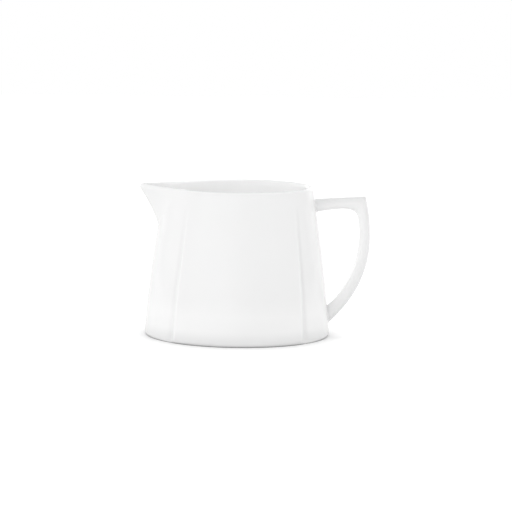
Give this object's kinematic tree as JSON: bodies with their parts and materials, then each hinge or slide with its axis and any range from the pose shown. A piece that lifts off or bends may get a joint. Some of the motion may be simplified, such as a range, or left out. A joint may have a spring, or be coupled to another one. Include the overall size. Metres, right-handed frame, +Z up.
{
  "type": "sauce jug",
  "caption": "White glazed porcelain sauce jug with a tapered, pleated round body, a beak spout drawn out of the rim and an open loop handle with a crisp elbow.",
  "frame": {"origin": "on the axis of the jug, in the plane of the foot ring that stands on the table", "axes": "+Z up along the axis of the jug, +X towards the handle, -X towards the spout; the jug is symmetric about the plane Y = 0"},
  "size_m": [0.1369, 0.1098, 0.0887],
  "materials": {
    "porcelain": "gloss",
    "fired_slip": "gloss",
    "unglazed_foot": "matte"
  },
  "bodies": {
    "root": {"body": "porcelain", "spout": "porcelain", "handle": "porcelain", "spout_slip_joint": "fired_slip", "handle_upper_slip_joint": "fired_slip", "handle_lower_slip_joint": "fired_slip"}
  },
  "joints": []
}
